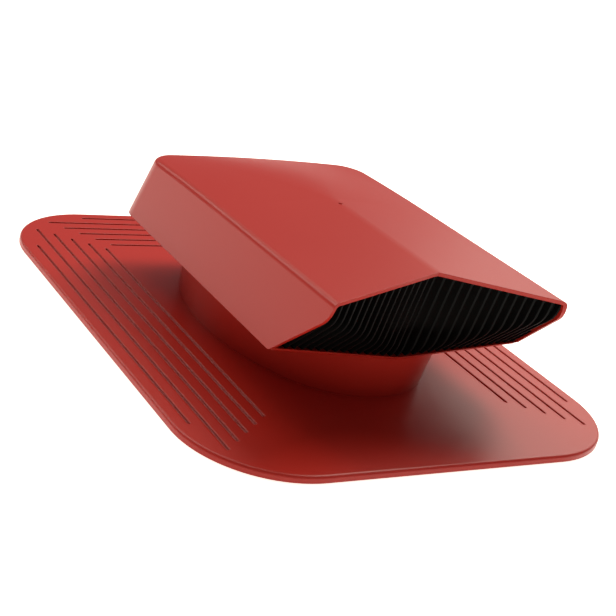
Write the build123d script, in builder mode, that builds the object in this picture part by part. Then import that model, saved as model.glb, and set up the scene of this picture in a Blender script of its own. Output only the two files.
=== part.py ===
from build123d import *
from math import atan2, degrees, hypot
import os

os.makedirs("parts", exist_ok=True)

# Roof shingle vent, in millimetres. The flange lies on the roof with its underside at Z = 0 and its
# centre at the origin. +Y points up the roof slope, and the mouth faces down it, towards -Y.

# Flange that slides under the shingles
flange_width = 304.0
flange_length = 379.0
flange_corner = 66.0
flange_thickness = 4.4
flange_top_round = 1.8
pocket_depth = 1.6
flange_border = 12.0
duct_land = 9.0
rib_width = 2.4
rib_spacing = 58.0

# Bitumen grooves: straight slots that keep a margin from their own edge, with mitred ends
groove_count = 6
groove_margin = 10.0
groove_pitch = 10.05
groove_width = 1.9
groove_depth = 1.3
groove_mitre_start = 33.6
groove_mitre_step = 8.3
groove_outer_end = 63.5

# Oval duct: upright collar on the flange, and the funnel that fits round it
wall = 2.5
fit = 0.3
funnel_foot_half_width = 74.3
funnel_foot_half_length = 107.3
funnel_end_inset = 12.3
funnel_flare = 0.08
funnel_lean = 0.11
weir_top = 53.0
collar_top = 28.0
collar_draft = funnel_lean - funnel_flare
ledge_thickness = 2.4
hook_width = 12.0
hook_stem = 2.0
hook_root = 10.0
hook_reach = 1.0
hook_head = 3.0
hook_places = (-62.0, -20.0, 20.0, 62.0)

# Hood: folded roof, flared walls and a leaning back. The fold fades towards the rear, where the
# roof falls away in a shallow arch.
hood_bottom = 43.0
hood_front = -175.0
crease_half_width = 85.2
crease_height = 88.9
roof_slope = 0.101
roof_pitch = 0.0153
wall_flare = 0.185
rear_top_y = 99.0
rear_lean = 0.22
rear_corner = 20.0
crease_round = 4.5
least_round = 2.0
fall_start = -6.0
fall_end = 102.0
fall_steps = 4
crease_fall = 1.9
crown_fall = 9.4
fold_front = 3.0
fold_rear = 60.0
roof_front = -180.0
roof_rear = 125.0
roof_half_span = 125.0
roof_base = 10.0
walls_base = 20.0
walls_top = 115.0

# Mouth: the front edges sweep forward to the sides, and below a bend the opening runs back to the lip
mouth_centre_y = -129.5
mouth_sweep = 0.31
mouth_lean = 0.20
mouth_bend_round = 15.0
mouth_corner_round = 5.0
corner_start = 60.0
corner_span = 15.0
mouth_reach = 70.0
mouth_half_span = 120.0
mouth_low = 10.0
mouth_high = 135.0
lip_y = -113.0
lip_height = 34.0
lip_slope = 0.095
lip_run = 1.03

# Tray floor with a rim that closes the hood from below, and the catches that hold the hood on it
floor_thickness = 2.3
rim_thickness = 2.0
rim_height = 9.0
catch_length = 12.0
catch_height = 3.0
catch_centre = 48.5
catch_reach = 0.9
catch_places = (-62.0, 2.0, 66.0)
pocket_room = 0.4

# Hoops inside the hood that stiffen it and stand on the tray's rim
hoop_places = (-88.0, -30.0, 34.0)
hoop_thickness = 2.0
hoop_depth = 6.0

# Grille: upright fins that follow the mouth's bend, tied by a frame behind their front edges
fin_pitch = 5.9
fin_thickness = 1.3
fin_pairs = 15
grille_recess = 1.6
grille_depth = 9.0
frame_setback = 4.0
frame_rail = 2.4
peg_radius = 2.0
peg_places = (-66.0, -36.0, 36.0, 66.0)

# Moulding gate mark on the ridge
gate_y = -16.0
gate_radius = 1.3
gate_height = 0.5

# How far bodies of one moulding run into each other before they are joined
overlap = 0.4


def oval(outset):
    """Oval face outset from the funnel's foot: four tangent arcs, longest along Y."""
    half_width = funnel_foot_half_width + outset
    half_length = funnel_foot_half_length + outset
    end_radius = half_width - funnel_end_inset
    end_centre = half_length - end_radius
    side_radius = (half_width**2 + end_centre**2 - end_radius**2) / (2 * (half_width - end_radius))
    side_centre = side_radius - half_width
    turn = degrees(atan2(end_centre, side_centre))
    with BuildSketch() as face:
        with BuildLine():
            CenterArc((-side_centre, 0), side_radius, -turn, 2 * turn)
            CenterArc((0, end_centre), end_radius, turn, 180 - 2 * turn)
            CenterArc((side_centre, 0), side_radius, 180 - turn, 2 * turn)
            CenterArc((0, -end_centre), end_radius, 180 + turn, 180 - 2 * turn)
        make_face()
    return face.sketch


def oval_body(low, high, low_outset, high_outset, lean=0.0):
    """Oval body between two heights, with its outline's outset at each; it leans forward as it rises."""
    with BuildPart() as body:
        for height, outset in ((low, low_outset), (high, high_outset)):
            with BuildSketch(Plane(origin=(0, lean * (flange_thickness - height), height))):
                add(oval(outset))
        loft(ruled=True)
    return body.part


def funnel_outset(height):
    """Outset of the funnel's outer face, which flares as it rises from the flange."""
    return funnel_flare * (height - flange_thickness)


def collar_outset(height):
    """Outset of the collar's outer face, which narrows upwards to stay clear of the leaning funnel."""
    return -wall - fit - collar_draft * height


def walls_form(inset):
    """Body inside the hood's flared sides and leaning back, with rounded rear corners."""
    low_rise = crease_height - walls_base
    high_rise = crease_height - walls_top
    half_width = crease_half_width - inset * hypot(1, wall_flare)
    rear = rear_top_y - inset * hypot(1, rear_lean)
    with BuildPart() as walls:
        with BuildSketch(Plane.XZ):
            with BuildLine():
                Polyline(
                    (-half_width - wall_flare * low_rise, walls_base),
                    (half_width + wall_flare * low_rise, walls_base),
                    (half_width + wall_flare * high_rise, walls_top),
                    (-half_width - wall_flare * high_rise, walls_top),
                    close=True,
                )
            make_face()
        extrude(amount=flange_length, both=True)
        with BuildSketch(Plane.YZ):
            with BuildLine():
                Polyline(
                    (hood_front, walls_base),
                    (rear + rear_lean * low_rise, walls_base),
                    (rear + rear_lean * high_rise, walls_top),
                    (hood_front, walls_top),
                    close=True,
                )
            make_face()
        extrude(amount=flange_width, both=True, mode=Mode.INTERSECT)
        corners = walls.edges().filter_by(
            lambda edge: abs(edge.center().X) > rear_corner and edge.center().Y > 0
        )
        fillet(corners, rear_corner - inset)
    return walls.part


def roof_section(y, inset):
    """Section under the roof at a station: two slopes that meet in a fold, which widens to the rear."""
    shape_y = min(max(y, fall_start), fall_end)
    share = (shape_y - fall_start) / (fall_end - fall_start)
    crease = crease_height - roof_pitch * y - crease_fall * share**2
    crown = crease_height + roof_slope * crease_half_width - roof_pitch * y - crown_fall * share**2
    blend = fold_front + (fold_rear - fold_front) * share
    slope = (crown - crease) / (crease_half_width - blend / 2)
    down = inset * hypot(1, slope)
    fold_edge = crease + slope * (crease_half_width - blend) - down
    side_edge = crease - slope * (roof_half_span - crease_half_width) - down
    with BuildSketch() as section:
        with BuildLine():
            Polyline(
                (-blend, fold_edge),
                (-roof_half_span, side_edge),
                (-roof_half_span, roof_base),
                (roof_half_span, roof_base),
                (roof_half_span, side_edge),
                (blend, fold_edge),
            )
            Bezier((blend, fold_edge), (0, fold_edge + slope * blend), (-blend, fold_edge))
        make_face()
    return section.sketch


def is_crease(edge):
    """True for the edges where the roof meets the side walls, the rear corners and the back."""
    middle = edge.center()
    outside = abs(middle.X) > crease_half_width - rear_corner or middle.Y > rear_top_y - rear_corner
    return outside and middle.Z > (walls_base + crease_height + rear_corner) / 2


def hood_form(inset):
    """Closed body inside the hood's outer faces by the inset, cut off past the mouth and below."""
    step = (fall_end - fall_start) / fall_steps
    with BuildPart() as rear_roof:
        for index in range(fall_steps + 1):
            station = fall_start + index * step
            with BuildSketch(Plane.XZ.offset(-station)):
                add(roof_section(station, inset))
        loft()
    with BuildPart() as body:
        with BuildSketch(Plane.XZ.offset(-fall_start)):
            add(roof_section(fall_start, inset))
        extrude(amount=(fall_start - roof_front) * hypot(1, roof_pitch), dir=(0, -1, roof_pitch))
        with BuildSketch(Plane.XZ.offset(-fall_end)):
            add(roof_section(fall_end, inset))
        extrude(amount=(roof_rear - fall_end) * hypot(1, roof_pitch), dir=(0, 1, -roof_pitch))
        add(rear_roof.part)
        add(walls_form(inset), mode=Mode.INTERSECT)
        fillet(body.edges().filter_by(is_crease), max(crease_round - inset, least_round))
    return body.part


def mouth_space(shift):
    """Everything in front of the mouth's face, which is moved back into the hood by the shift."""
    ridge_front = crease_height + roof_slope * crease_half_width - roof_pitch * mouth_centre_y
    upper_at_zero = mouth_centre_y + mouth_lean * ridge_front + shift
    lower_at_zero = lip_y + lip_run * lip_height + shift
    far = mouth_centre_y - mouth_reach
    with BuildPart() as space:
        with BuildSketch(Plane.YZ):
            with BuildLine():
                Polyline(
                    (far, mouth_low),
                    (upper_at_zero - mouth_lean * mouth_low, mouth_low),
                    (upper_at_zero - mouth_lean * mouth_high, mouth_high),
                    (far, mouth_high),
                    close=True,
                )
            make_face()
        extrude(amount=mouth_half_span * hypot(1, mouth_sweep), dir=(1, -mouth_sweep, 0))
        with BuildSketch(Plane.YZ):
            with BuildLine():
                Polyline(
                    (far, mouth_low),
                    (lower_at_zero - lip_run * mouth_low, mouth_low),
                    (far, (lower_at_zero - far) / lip_run),
                    close=True,
                )
            make_face()
        sweep_back = lip_run * lip_slope
        extrude(amount=mouth_half_span * hypot(1, sweep_back), dir=(1, sweep_back, 0))
        side = mouth_half_span / 2
        bend = (lower_at_zero - upper_at_zero + (sweep_back + mouth_sweep) * side) / (lip_run - mouth_lean)
        bend_point = (side, upper_at_zero - mouth_sweep * side - mouth_lean * bend, bend)
        fillet(space.edges().sort_by_distance(bend_point)[0], mouth_bend_round)
        mirror(about=Plane.YZ)
    return space.part


def corner_space():
    """Room in front of and below the hood's two lower front corners, rounded where they meet."""
    sweep_back = lip_run * lip_slope
    corner_y = lip_y + lip_run * (lip_height - hood_bottom) + sweep_back * corner_start
    far = mouth_centre_y - mouth_reach
    with BuildPart() as space:
        with BuildSketch(Plane.YZ.offset(corner_start)) as section:
            with BuildLine():
                Polyline(
                    (corner_y - lip_run * corner_span, hood_bottom + corner_span),
                    (corner_y, hood_bottom),
                    (corner_y + corner_span, hood_bottom),
                    (corner_y + corner_span, hood_bottom - corner_span),
                    (far, hood_bottom - corner_span),
                    (far, hood_bottom + corner_span),
                    close=True,
                )
            make_face()
            fillet(section.vertices().sort_by_distance((corner_y, hood_bottom))[0], mouth_corner_round)
        extrude(amount=(mouth_half_span - corner_start) * hypot(1, sweep_back), dir=(1, sweep_back, 0))
        mirror(about=Plane.YZ)
    return space.part


def floor_layer(low, high):
    """Shallow V-shaped layer parallel to the tray floor, between two heights above its underside."""
    with BuildPart() as layer:
        with BuildSketch(Plane.XZ):
            with BuildLine():
                Polyline(
                    (0, lip_height + low),
                    (mouth_half_span, lip_height + lip_slope * mouth_half_span + low),
                    (mouth_half_span, lip_height + lip_slope * mouth_half_span + high),
                    (0, lip_height + high),
                    (-mouth_half_span, lip_height + lip_slope * mouth_half_span + high),
                    (-mouth_half_span, lip_height + lip_slope * mouth_half_span + low),
                    close=True,
                )
            make_face()
        extrude(amount=flange_length, both=True)
    return layer.part


def cross_slab(form, y, thickness, low, high):
    """Slice of a body across the hood at a station, between two heights."""
    with BuildPart() as slab:
        add(form)
        with Locations((0, y, (low + high) / 2)):
            Box(2 * mouth_half_span, thickness, high - low, mode=Mode.INTERSECT)
    return slab.part


def shell(outer, inner):
    """One body with another taken out of it."""
    with BuildPart() as body:
        add(outer)
        add(inner, mode=Mode.SUBTRACT)
    return body.part


def common(first, second):
    """The part that two bodies share."""
    with BuildPart() as body:
        add(first)
        add(second, mode=Mode.INTERSECT)
    return body.part


# Shared bodies
grille_back = grille_recess + grille_depth
above_floor = floor_layer(floor_thickness, mouth_high)
mouth_front = mouth_space(0)
room_for_grille = common(mouth_space(grille_back + fit), above_floor)
inside_faces = hood_form(wall)
tray_faces = hood_form(wall + fit)
ledge_edge = collar_outset(collar_top) - wall + overlap + fit
ledge_top = collar_top + ledge_thickness

# Flange base: grooves on top, ribs below, and the collar of the duct
with BuildPart() as base:
    with BuildSketch():
        RectangleRounded(flange_width, flange_length, flange_corner)
    extrude(amount=flange_thickness)
    fillet(base.edges().group_by(Axis.Z)[-1], flange_top_round)
    with BuildSketch():
        RectangleRounded(
            flange_width - 2 * flange_border,
            flange_length - 2 * flange_border,
            flange_corner - flange_border,
        )
        add(oval(duct_land), mode=Mode.SUBTRACT)
        with GridLocations(rib_spacing, 0, int(flange_width // rib_spacing), 1):
            Rectangle(rib_width, flange_length, mode=Mode.SUBTRACT)
        with GridLocations(0, rib_spacing, 1, int(flange_length // rib_spacing)):
            Rectangle(flange_width, rib_width, mode=Mode.SUBTRACT)
    extrude(amount=pocket_depth, mode=Mode.SUBTRACT)
    for index in range(groove_count):
        margin = groove_margin + index * groove_pitch
        end = groove_mitre_start + (index - 1) * groove_mitre_step if index else groove_outer_end
        with BuildSketch(Plane.XY.offset(flange_thickness)):
            with Locations((flange_width / 2 - margin, 0), (margin - flange_width / 2, 0)):
                SlotOverall(flange_length - 2 * end, groove_width, rotation=90)
            with Locations((0, flange_length / 2 - margin)):
                SlotOverall(flange_width - 2 * end, groove_width)
        extrude(amount=-groove_depth, mode=Mode.SUBTRACT)
    add(oval_body(
        flange_thickness - overlap,
        collar_top,
        collar_outset(flange_thickness - overlap),
        collar_outset(collar_top),
    ))
    add(
        oval_body(0, collar_top, collar_outset(0) - wall, collar_outset(collar_top) - wall),
        mode=Mode.SUBTRACT,
    )
    stem_face = ledge_edge - fit
    with BuildPart(mode=Mode.PRIVATE) as hook_ring:
        add(oval_body(collar_top - hook_root, ledge_top + fit, stem_face, stem_face))
        add(oval_body(
            ledge_top + fit,
            ledge_top + fit + hook_head,
            ledge_edge + hook_reach,
            stem_face - overlap,
        ))
        add(
            oval_body(
                collar_top - hook_root,
                ledge_top + fit + hook_head,
                stem_face - hook_stem,
                stem_face - hook_stem,
            ),
            mode=Mode.SUBTRACT,
        )
    for place in hook_places:
        add(cross_slab(hook_ring.part, place, hook_width, 0, mouth_high))

# Funnel: oval wall with a ledge on the collar, and the tray that carries the hood and the grille
with BuildPart() as funnel:
    add(common(tray_faces, floor_layer(0, floor_thickness + rim_height)))
    add(mouth_front, mode=Mode.SUBTRACT)
    add(common(hood_form(wall + fit + rim_thickness), above_floor), mode=Mode.SUBTRACT)
    add(oval_body(flange_thickness, weir_top, 0, funnel_outset(weir_top), funnel_lean))
    add(shell(above_floor, tray_faces), mode=Mode.SUBTRACT)
    add(room_for_grille, mode=Mode.SUBTRACT)
    with BuildPart(mode=Mode.PRIVATE) as duct:
        add(oval_body(flange_thickness, weir_top, -wall, funnel_outset(weir_top) - wall, funnel_lean))
        add(
            common(mouth_space(grille_back + fit + wall), floor_layer(0, mouth_high)),
            mode=Mode.SUBTRACT,
        )
    add(duct.part, mode=Mode.SUBTRACT)
    add(shell(
        oval_body(
            collar_top,
            ledge_top,
            funnel_outset(collar_top) - wall + overlap,
            funnel_outset(ledge_top) - wall + overlap,
            funnel_lean,
        ),
        oval_body(collar_top, ledge_top, ledge_edge, ledge_edge),
    ))
    catch_ring = shell(hood_form(wall + fit - catch_reach), hood_form(wall + fit + overlap))
    for place in catch_places:
        add(cross_slab(
            catch_ring,
            place,
            catch_length,
            catch_centre - catch_height / 2,
            catch_centre + catch_height / 2,
        ))
    peg_y = lip_y - lip_run * floor_thickness + (grille_recess + frame_setback + grille_back) / 2
    for place in peg_places:
        floor_low = lip_height + lip_slope * abs(place)
        with Locations((place, peg_y, floor_low + floor_thickness / 2)):
            Cylinder(peg_radius + fit / 2, 2 * floor_thickness, mode=Mode.SUBTRACT)

# Hood: folded shell with hoops inside and pockets for the tray's catches
with BuildPart() as hood:
    add(hood_form(0))
    split(bisect_by=Plane.XY.offset(hood_bottom), keep=Keep.TOP)
    add(mouth_front, mode=Mode.SUBTRACT)
    add(corner_space(), mode=Mode.SUBTRACT)
    add(inside_faces, mode=Mode.SUBTRACT)
    hoop_ring = shell(hood_form(wall - overlap), hood_form(wall + hoop_depth))
    hoop_ring = common(hoop_ring, floor_layer(floor_thickness + rim_height, mouth_high))
    for place in hoop_places:
        add(cross_slab(hoop_ring, place, hoop_thickness, 0, mouth_high))
    pocket_form = hood_form(wall + fit - catch_reach - pocket_room)
    for place in catch_places:
        add(
            cross_slab(
                pocket_form,
                place,
                catch_length + 2 * pocket_room,
                catch_centre - catch_height / 2 - pocket_room,
                catch_centre + catch_height / 2 + pocket_room,
            ),
            mode=Mode.SUBTRACT,
        )
    ridge = crease_height + roof_slope * crease_half_width - roof_pitch * gate_y
    with Locations((0, gate_y, ridge)):
        Cylinder(gate_radius, 2 * gate_height)

# Grille: comb of fins in a frame, with pegs in the tray floor
with BuildPart() as grille_void:
    add(hood_form(wall + fit + frame_rail))
    add(floor_layer(floor_thickness + frame_rail, mouth_high), mode=Mode.INTERSECT)
    add(mouth_space(grille_recess + frame_setback))

with BuildPart() as gaps:
    with GridLocations(fin_pitch, 0, 2 * fin_pairs + 2, 1):
        Box(fin_pitch - fin_thickness, 2 * flange_length, 2 * mouth_high)
    add(grille_void.part, mode=Mode.INTERSECT)

with BuildPart() as grille:
    add(common(tray_faces, above_floor))
    add(mouth_space(grille_back), mode=Mode.INTERSECT)
    add(mouth_space(grille_recess), mode=Mode.SUBTRACT)
    add(gaps.part, mode=Mode.SUBTRACT)
    for place in peg_places:
        floor_low = lip_height + lip_slope * abs(place)
        with Locations((place, peg_y, floor_low)):
            Cylinder(
                peg_radius,
                floor_thickness + frame_rail / 2,
                align=(Align.CENTER, Align.CENTER, Align.MIN),
            )

base.part.label = "flange base"
funnel.part.label = "duct funnel"
hood.part.label = "hood"
grille.part.label = "grille"
export_step(base.part, "parts/flange_base.step")
export_step(funnel.part, "parts/duct_funnel.step")
export_step(hood.part, "parts/hood.step", precision_mode=PrecisionMode.GREATEST)
export_step(grille.part, "parts/grille.step")
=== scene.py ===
# %% [markdown]
# # A roof shingle vent
# The vent is a red plastic outlet for a shingle roof: a grooved flange, an oval funnel that stands
# on it, and a folded hood with a black ribbed grille in its mouth. The CAD model already has every
# shape, so this file is about light and finish. It starts by loading that model as a fixed frame.

# %% Load the frame
from math import radians

import bmesh
import bpy
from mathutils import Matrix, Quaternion, Vector


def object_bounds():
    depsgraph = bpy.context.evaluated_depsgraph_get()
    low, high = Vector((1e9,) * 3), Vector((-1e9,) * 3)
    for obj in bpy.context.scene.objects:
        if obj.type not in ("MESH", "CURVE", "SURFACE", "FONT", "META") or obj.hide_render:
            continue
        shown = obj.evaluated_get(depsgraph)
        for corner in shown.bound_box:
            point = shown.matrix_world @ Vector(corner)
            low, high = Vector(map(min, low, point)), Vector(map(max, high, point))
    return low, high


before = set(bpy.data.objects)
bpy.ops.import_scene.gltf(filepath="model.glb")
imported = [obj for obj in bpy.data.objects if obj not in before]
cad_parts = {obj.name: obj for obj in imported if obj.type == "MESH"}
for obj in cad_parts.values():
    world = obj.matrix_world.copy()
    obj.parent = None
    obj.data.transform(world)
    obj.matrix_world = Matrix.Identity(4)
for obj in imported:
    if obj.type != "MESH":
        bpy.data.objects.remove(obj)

scene = bpy.context.scene
cad_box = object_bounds()
print("CAD box, metres:", [[round(v, 4) for v in corner] for corner in cad_box])

# %% [markdown]
# ## The camera
# A long lens from the front left keeps the edges nearly parallel, as in a catalogue picture. A camera
# can be turned by three angles, but it is easier to read when it is aimed at a point, here one near
# the funnel. It is then turned a little about its own axis, because the vent is shown as if it lay
# on a sloping roof.

# %% Place the camera
camera_place = Vector((-0.4884, -0.7008, 0.3523))
camera_target = Vector((-0.0305, -0.0523, 0.0400))
camera_roll = radians(14.06)
lens_length = 78.74
sensor_width = 36.0
nearest_view = 0.05

camera_data = bpy.data.cameras.new("camera")
camera_data.lens = lens_length
camera_data.sensor_width = sensor_width
camera_data.clip_start = nearest_view
camera = bpy.data.objects.new("camera", camera_data)
scene.collection.objects.link(camera)
camera.location = camera_place
aim = (camera_target - camera_place).to_track_quat("-Z", "Y")
camera.rotation_mode = "QUATERNION"
camera.rotation_quaternion = aim @ Quaternion((0, 0, 1), camera_roll)
scene.camera = camera
print("camera distance, metres:", round((camera_target - camera_place).length, 3))

# %% [markdown]
# ## The floor
# A studio floor is a large pale sheet. A single flat face is enough, as long as it reaches past the
# picture on every side. It lies a hair under the flange, so the two faces never fight. Stronger lamps
# would make it white but burn out the reds, so its paint glows instead, a little warm.

# %% Make the floor
floor_half = 9.0
floor_gap = 0.0002

floor_mesh = bpy.data.meshes.new("floor")
shape = bmesh.new()
bmesh.ops.create_grid(shape, x_segments=1, y_segments=1, size=floor_half)
bmesh.ops.translate(shape, vec=(0, 0, cad_box[0][2] - floor_gap), verts=shape.verts)
shape.to_mesh(floor_mesh)
shape.free()
floor = bpy.data.objects.new("floor", floor_mesh)
scene.collection.objects.link(floor)
print("floor side, metres:", 2 * floor_half)

# %% Paint the floor
floor_shade = (0.92, 0.92, 0.92, 1)
floor_roughness = 0.9
glow_shade = (1.0, 0.98, 0.88, 1)
glow_strength = 0.85

floor_paint = bpy.data.materials.new("white floor")
floor_paint.use_nodes = True
floor_shader = floor_paint.node_tree.nodes["Principled BSDF"]
floor_shader.inputs["Base Color"].default_value = floor_shade
floor_shader.inputs["Roughness"].default_value = floor_roughness
floor_shader.inputs["Emission Color"].default_value = glow_shade
floor_shader.inputs["Emission Strength"].default_value = glow_strength
floor_mesh.materials.append(floor_paint)
print("floor wears", floor_paint.name)

# %% [markdown]
# ## The light
# Satin plastic shows the room it stands in, so the room decides the look. A dim even sky fills the
# shadows, and the bright floor lights the walls from below. Two large soft lamps hang high behind
# the vent, so the hood's shadow falls forward over the flange. A low one on the right is there for
# sheen: the far slope of the roof and the far corner of the flange mirror it as a pink haze. A small
# weak one at the left rear draws thin lines of light on the edges of the flange, its grooves and the
# hood's left fold. The lamps are a little warm, as studio flash through a cloth is.

# %% Light the sky
sky_shade = (1.0, 1.0, 1.0, 1)
sky_strength = 0.24

world = bpy.data.worlds.new("studio")
scene.world = world
world.use_nodes = True
sky_light = world.node_tree.nodes["Background"]
sky_light.inputs["Color"].default_value = sky_shade
sky_light.inputs["Strength"].default_value = sky_strength
print("sky strength:", sky_strength)


# %% Hang the soft lamps
lamp_tint = (1.0, 0.97, 0.86)
lamp_distance = 2.0


def soft_lamp(name, azimuth, elevation, width, height, watts):
    """A rectangular lamp that faces the vent; azimuth runs from the rear to the right, in degrees."""
    data = bpy.data.lights.new(name, "AREA")
    data.shape = "RECTANGLE"
    data.size = width
    data.size_y = height
    data.energy = watts
    data.color = lamp_tint
    lamp = bpy.data.objects.new(name, data)
    scene.collection.objects.link(lamp)
    swing = Quaternion((0, 0, 1), -radians(azimuth))
    lift = Quaternion((1, 0, 0), radians(elevation))
    lamp.location = swing @ lift @ Vector((0, lamp_distance, 0))
    lamp.rotation_mode = "QUATERNION"
    lamp.rotation_quaternion = (-lamp.location).to_track_quat("-Z", "Y")
    print(name, "at", [round(v, 2) for v in lamp.location], "watts:", watts)


soft_lamp("high right lamp", azimuth=60, elevation=55, width=0.9, height=0.9, watts=30)
soft_lamp("high rear lamp", azimuth=-14, elevation=56, width=1.4, height=0.9, watts=13)
soft_lamp("low right lamp", azimuth=64, elevation=26, width=1.3, height=0.8, watts=7)
soft_lamp("rear left lamp", azimuth=-28, elevation=32, width=0.7, height=0.5, watts=5.5)

# %% [markdown]
# ## Grain and drift
# Both plastics are moulded, so they share some effects. Fine grain is the texture that the mould's
# spark-eroded skin leaves, a bump well under a millimetre. Tone drift is the faint unevenness of a
# large moulding, where the colour and the gloss change slowly. Both could be painted by hand, but a
# noise that lies in the piece's own coordinates has no seams. Each effect is a node group that is
# built once.


# %% Build the grain and the drift
def new_group(name, outputs):
    """An empty node group with outputs of the kinds given, and the node that collects them."""
    group = bpy.data.node_groups.new(name, "ShaderNodeTree")
    for label, kind in outputs.items():
        group.interface.new_socket(name=label, in_out="OUTPUT", socket_type="NodeSocket" + kind)
    return group, group.nodes.new("NodeGroupOutput")


def noise_group(name, label, scale, detail, roughness):
    """A node group that gives one noise under the label given."""
    group, result = new_group(name, {label: "Float"})
    place = group.nodes.new("ShaderNodeTexCoord")
    noise = group.nodes.new("ShaderNodeTexNoise")
    noise.inputs["Scale"].default_value = scale
    noise.inputs["Detail"].default_value = detail
    noise.inputs["Roughness"].default_value = roughness
    group.links.new(place.outputs["Object"], noise.inputs["Vector"])
    group.links.new(noise.outputs["Fac"], result.inputs[label])
    print("effect:", name, "gives", label)
    return group


grain_group = noise_group("moulded grain", "Height", scale=1400.0, detail=3.0, roughness=0.6)
drift_group = noise_group("tone drift", "Drift", scale=9.0, detail=2.0, roughness=0.5)

# %% [markdown]
# ## Soft edges
# No mould can make a sharp corner: each has a small radius, which catches the light as a thin line.
# Real fillets that small would fill the model with faces. A Bevel node finds the corners instead and
# turns the normal there, with no change to the shape. Where the turned normal leaves the flat one, a
# paler shade is mixed in as a painted highlight.

# %% Build the soft edges
# Between these two cosines a corner goes from flat to fully painted highlight.
flat_cosine = 0.98
highlight_cosine = 0.6
corner_samples = 6

edge_group, edge_result = new_group("soft edges", {"Normal": "Vector", "Highlight": "Float"})
edge_group.interface.new_socket(name="Radius", in_out="INPUT", socket_type="NodeSocketFloat")
edge_input = edge_group.nodes.new("NodeGroupInput")
edge_round = edge_group.nodes.new("ShaderNodeBevel")
edge_round.samples = corner_samples
edge_flat = edge_group.nodes.new("ShaderNodeNewGeometry")
edge_turn = edge_group.nodes.new("ShaderNodeVectorMath")
edge_turn.operation = "DOT_PRODUCT"
edge_mask = edge_group.nodes.new("ShaderNodeMapRange")
edge_mask.inputs["From Min"].default_value = flat_cosine
edge_mask.inputs["From Max"].default_value = highlight_cosine
edge_group.links.new(edge_input.outputs["Radius"], edge_round.inputs["Radius"])
edge_group.links.new(edge_round.outputs["Normal"], edge_turn.inputs[0])
edge_group.links.new(edge_flat.outputs["Normal"], edge_turn.inputs[1])
edge_group.links.new(edge_turn.outputs["Value"], edge_mask.inputs["Value"])
edge_group.links.new(edge_round.outputs["Normal"], edge_result.inputs["Normal"])
edge_group.links.new(edge_mask.outputs["Result"], edge_result.inputs["Highlight"])
print("effect:", edge_group.name, "gives Normal and Rubbed")

# %% [markdown]
# ## A moulded plastic
# A plastic is one Principled shader with those effects around it. The drift mixes two near shades of
# the colour and moves the roughness a little. The edge mask mixes in a paler shade along the
# corners, a painted highlight. The grain feeds a bump, which starts from the soft edges' normal.


# %% Mix a plastic
grain_depth = 0.00003


def add_effect(tree, group):
    """One of the shared effects, in a material's tree."""
    effect = tree.nodes.new("ShaderNodeGroup")
    effect.node_tree = group
    return effect


def mix_shades(tree, factor):
    """A mix of two colours that the factor drives."""
    mix = tree.nodes.new("ShaderNodeMix")
    mix.data_type = "RGBA"
    tree.links.new(factor, mix.inputs["Factor"])
    return mix


def plastic(name, shades, roughness, edge_radius, sheen):
    """Satin moulded plastic; shades: dark, light, painted edge highlight; roughness: low, high."""
    material = bpy.data.materials.new(name)
    material.use_nodes = True
    tree = material.node_tree
    shader = tree.nodes["Principled BSDF"]
    shader.inputs["Specular IOR Level"].default_value = sheen
    drift = add_effect(tree, drift_group)
    grain = add_effect(tree, grain_group)
    edges = add_effect(tree, edge_group)
    edges.inputs["Radius"].default_value = edge_radius

    # The third shade is a paler painted highlight, mixed in along the corners.
    dark, light, highlight_shade = [(*shade, 1) for shade in shades]
    body = mix_shades(tree, drift.outputs["Drift"])
    body.inputs["A"].default_value = dark
    body.inputs["B"].default_value = light
    highlighted = mix_shades(tree, edges.outputs["Highlight"])
    highlighted.inputs["B"].default_value = highlight_shade
    tree.links.new(body.outputs["Result"], highlighted.inputs["A"])
    tree.links.new(highlighted.outputs["Result"], shader.inputs["Base Color"])

    gloss = tree.nodes.new("ShaderNodeMapRange")
    gloss.inputs["To Min"].default_value, gloss.inputs["To Max"].default_value = roughness
    tree.links.new(drift.outputs["Drift"], gloss.inputs["Value"])
    tree.links.new(gloss.outputs["Result"], shader.inputs["Roughness"])

    bump = tree.nodes.new("ShaderNodeBump")
    bump.inputs["Distance"].default_value = grain_depth
    tree.links.new(grain.outputs["Height"], bump.inputs["Height"])
    tree.links.new(edges.outputs["Normal"], bump.inputs["Normal"])
    tree.links.new(bump.outputs["Normal"], shader.inputs["Normal"])
    print("plastic:", name)
    return material


# %% [markdown]
# ## The red and the black
# The flange is the roundest moulding, so the same red comes twice: with wide soft edges for the
# flange, whose grooves then show as lines of light, and with crisp ones for the hood and the funnel.
# The grille is a coal black and duller, so that its fins stay dark in the mouth.

# %% Make the plastics
# The third red shade is a paler painted highlight for the corners.
red_shades = [(0.41, 0.016, 0.009), (0.43, 0.019, 0.011), (0.46, 0.034, 0.022)]
red_roughness = (0.31, 0.37)
red_sheen = 0.28
flange_edge = 0.0016
hood_edge = 0.0004
round_red = plastic("round-edged red plastic", red_shades, red_roughness, flange_edge, red_sheen)
crisp_red = plastic("crisp red plastic", red_shades, red_roughness, hood_edge, red_sheen)

# The third black shade is the grille's painted edge highlight.
black_shades = [(0.0018, 0.002, 0.0018), (0.0035, 0.004, 0.0036), (0.005, 0.005, 0.005)]
black_roughness = (0.52, 0.62)
black_sheen = 0.08
fin_edge = 0.0003
coal_black = plastic("coal black plastic", black_shades, black_roughness, fin_edge, black_sheen)

# %% Dress the pieces
finishes = {
    "flange_base": round_red,
    "duct_funnel": crisp_red,
    "hood": crisp_red,
    "grille": coal_black,
}
for node_name, finish in finishes.items():
    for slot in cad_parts[node_name].material_slots:
        slot.material = finish
    print(node_name, "wears", finish.name)

# %% [markdown]
# ## Colour handling
# The picture's reds are strong and its white is pure, so the plain transform is used, which keeps
# colours as they are mixed.

# %% Keep the colours plain
scene.view_settings.view_transform = "Standard"
print("view transform:", scene.view_settings.view_transform)
